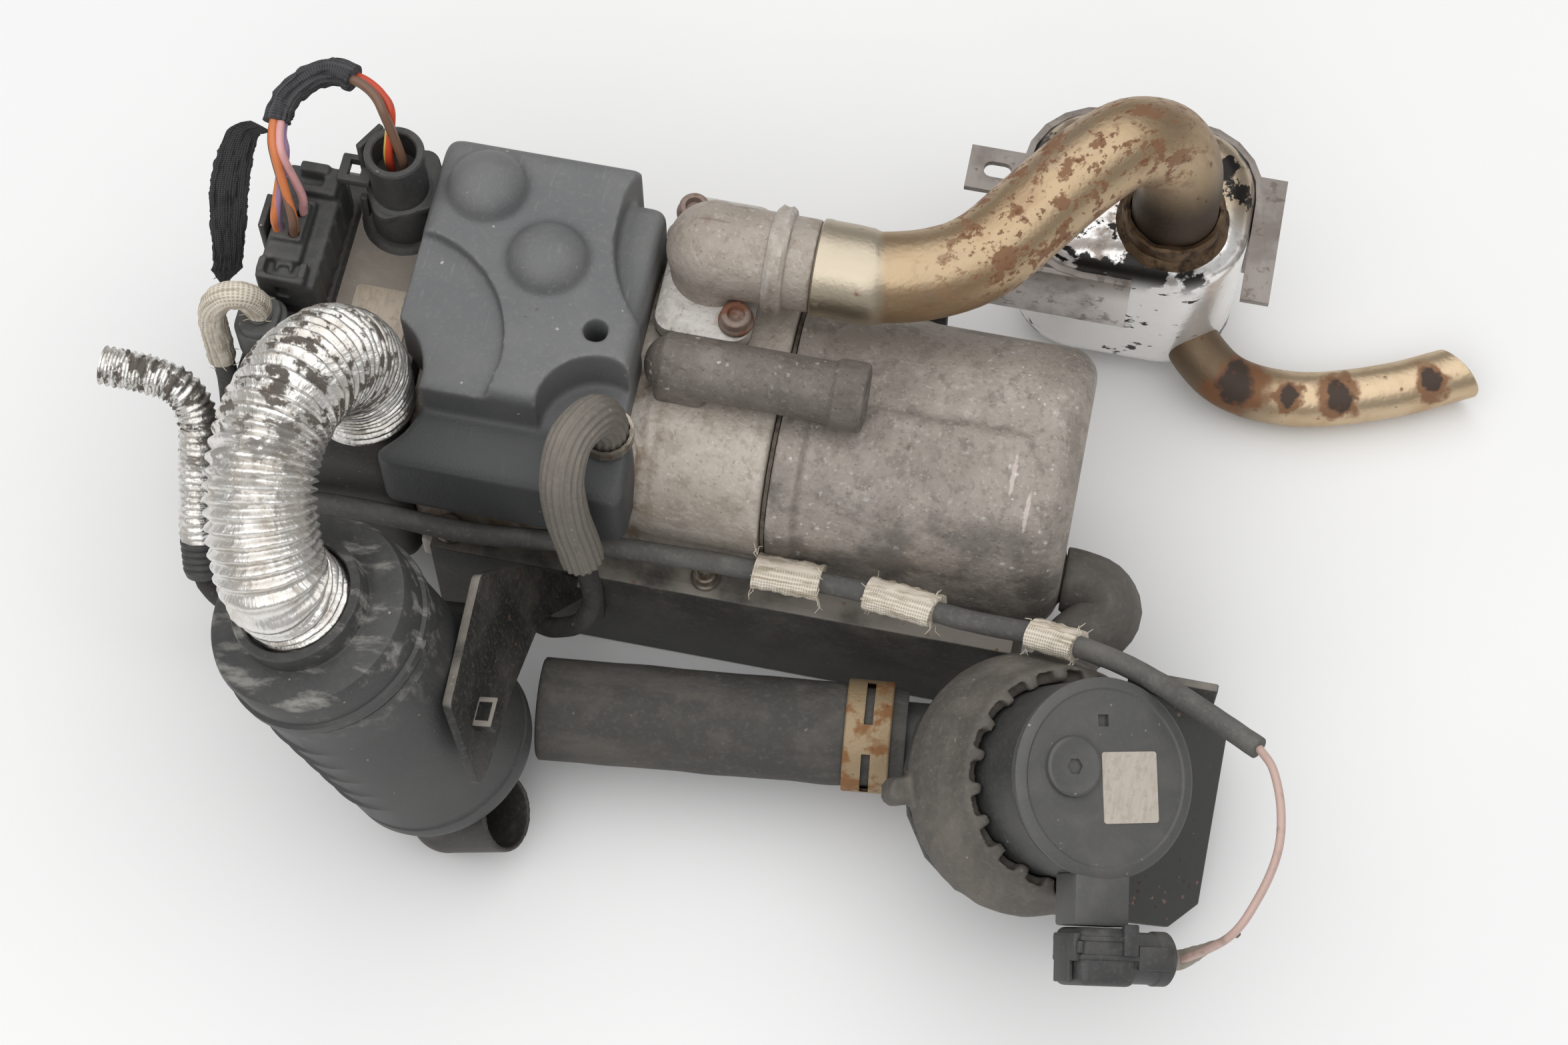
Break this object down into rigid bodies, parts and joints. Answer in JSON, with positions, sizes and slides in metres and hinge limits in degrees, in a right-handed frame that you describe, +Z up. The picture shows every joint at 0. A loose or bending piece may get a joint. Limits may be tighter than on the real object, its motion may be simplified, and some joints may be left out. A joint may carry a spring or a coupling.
{
  "type": "parking heater",
  "caption": "Vehicle parking water heater on a steel frame, with exhaust silencer, air intake hose and silencer, coolant pump, hoses and wiring.",
  "frame": {"origin": "middle of the heater's axis seen from above, on the underside of the frame's foot", "axes": "+X along the heater from blower to coolant pump, +Y from the pump towards the exhaust silencer, +Z up"},
  "size_m": [0.3637, 0.2644, 0.157],
  "materials": {
    "cast_aluminium": "sand-cast, stained",
    "inner_steel": "drawn",
    "ceramic": "fired ceramic",
    "gasket": "pressed fibre",
    "grey_plastic": "moulded, matte",
    "circuit_board": "lacquered",
    "black_plastic": "moulded, matte",
    "bright_steel": "drawn, stained",
    "brass": "turned",
    "rusty_steel": "rusted",
    "tinted_steel": "heat-tinted",
    "grey_steel": "heat-stained",
    "foil": "corrugated foil",
    "black_steel": "black coated",
    "grey_rubber": "fabric-ribbed",
    "black_rubber": "dusty",
    "wire_skin": "extruded",
    "cloth_tape": "woven"
  },
  "bodies": {
    "heater": {"heat_exchanger_jacket": "cast_aluminium", "heat_exchanger_core": "cast_aluminium", "burner_housing": "cast_aluminium", "coolant_outlet_pipe": "cast_aluminium", "exhaust_elbow": "cast_aluminium", "flame_tube": "inner_steel", "burner_insert": "inner_steel", "glow_pin": "ceramic", "jacket_seal": "gasket", "exhaust_gasket": "gasket", "blower_housing": "grey_plastic", "blower_motor": "inner_steel", "control_board": "circuit_board", "main_cover": "black_plastic", "cover_screw": "bright_steel", "temperature_sensor": "brass", "overheat_sensor": "brass", "exhaust_bolt_rear": "rusty_steel", "exhaust_bolt_front": "rusty_steel", "exhaust_pipe": "tinted_steel", "tail_pipe": "tinted_steel", "muffler_shell": "bright_steel", "muffler_baffle": "inner_steel", "muffler_bracket": "grey_steel", "intake_hose": "foil", "silencer_body": "black_plastic", "silencer_lid": "black_plastic", "intake_nozzle": "black_plastic", "silencer_bracket": "black_steel", "fuel_hose": "grey_rubber", "fuel_port": "brass", "fuel_clip": "bright_steel", "fuel_pipe": "black_plastic", "foil_sleeve": "foil", "fuel_line": "grey_rubber", "sleeve_fitting": "black_plastic", "pump_volute": "black_plastic", "pump_rubber_mount": "black_rubber", "pump_motor": "black_plastic", "pump_cap": "black_plastic", "pump_plug": "black_plastic", "pump_wire": "wire_skin", "coolant_hose": "black_rubber", "hose_clamp": "rusty_steel", "elbow_hose": "black_rubber", "pump_bracket": "rusty_steel", "main_bracket": "black_steel", "bracket_bolt_left": "bright_steel", "bracket_bolt_right": "bright_steel", "main_plug": "black_plastic", "round_plug": "black_plastic", "sensor_plug": "grey_plastic", "harness_sheath": "black_rubber", "plug_loom": "wire_skin", "tape_tail": "cloth_tape"},
    "blower_rotor": {"blower_impeller": "grey_plastic"},
    "pump_rotor_body": {"pump_rotor": "grey_plastic"},
    "main_plug_lever": {"main_plug_latch": "black_plastic"},
    "round_plug_lever": {"round_plug_latch": "black_plastic"},
    "pump_plug_lever": {"pump_plug_latch": "black_plastic"}
  },
  "joints": [
    {"name": "blower_spin", "type": "hinge", "parent": "heater", "child": "blower_rotor", "pos_m": [-0.1223, 0, 0.052], "axis": [1, 0, 0], "continuous": true},
    {"name": "pump_spin", "type": "hinge", "parent": "heater", "child": "pump_rotor_body", "pos_m": [0.0955, -0.0927, 0.084], "axis": [0.46, -0.2, 0.8651], "continuous": true},
    {"name": "main_plug_release", "type": "hinge", "parent": "heater", "child": "main_plug_lever", "pos_m": [-0.1467, 0.0105, 0.0968], "axis": [0, -1, 0], "range_deg": [0, 8], "stiffness_Nm_per_rad": 0.02},
    {"name": "round_plug_release", "type": "hinge", "parent": "heater", "child": "round_plug_lever", "pos_m": [-0.12291, 0.03207, 0.1051], "axis": [-0.5, -0.866, 0], "range_deg": [0, 8], "stiffness_Nm_per_rad": 0.02},
    {"name": "pump_plug_release", "type": "hinge", "parent": "heater", "child": "pump_plug_lever", "pos_m": [0.09367, -0.14173, 0.06959], "axis": [0.46, -0.2, 0.8651], "range_deg": [0, 8], "stiffness_Nm_per_rad": 0.02}
  ]
}
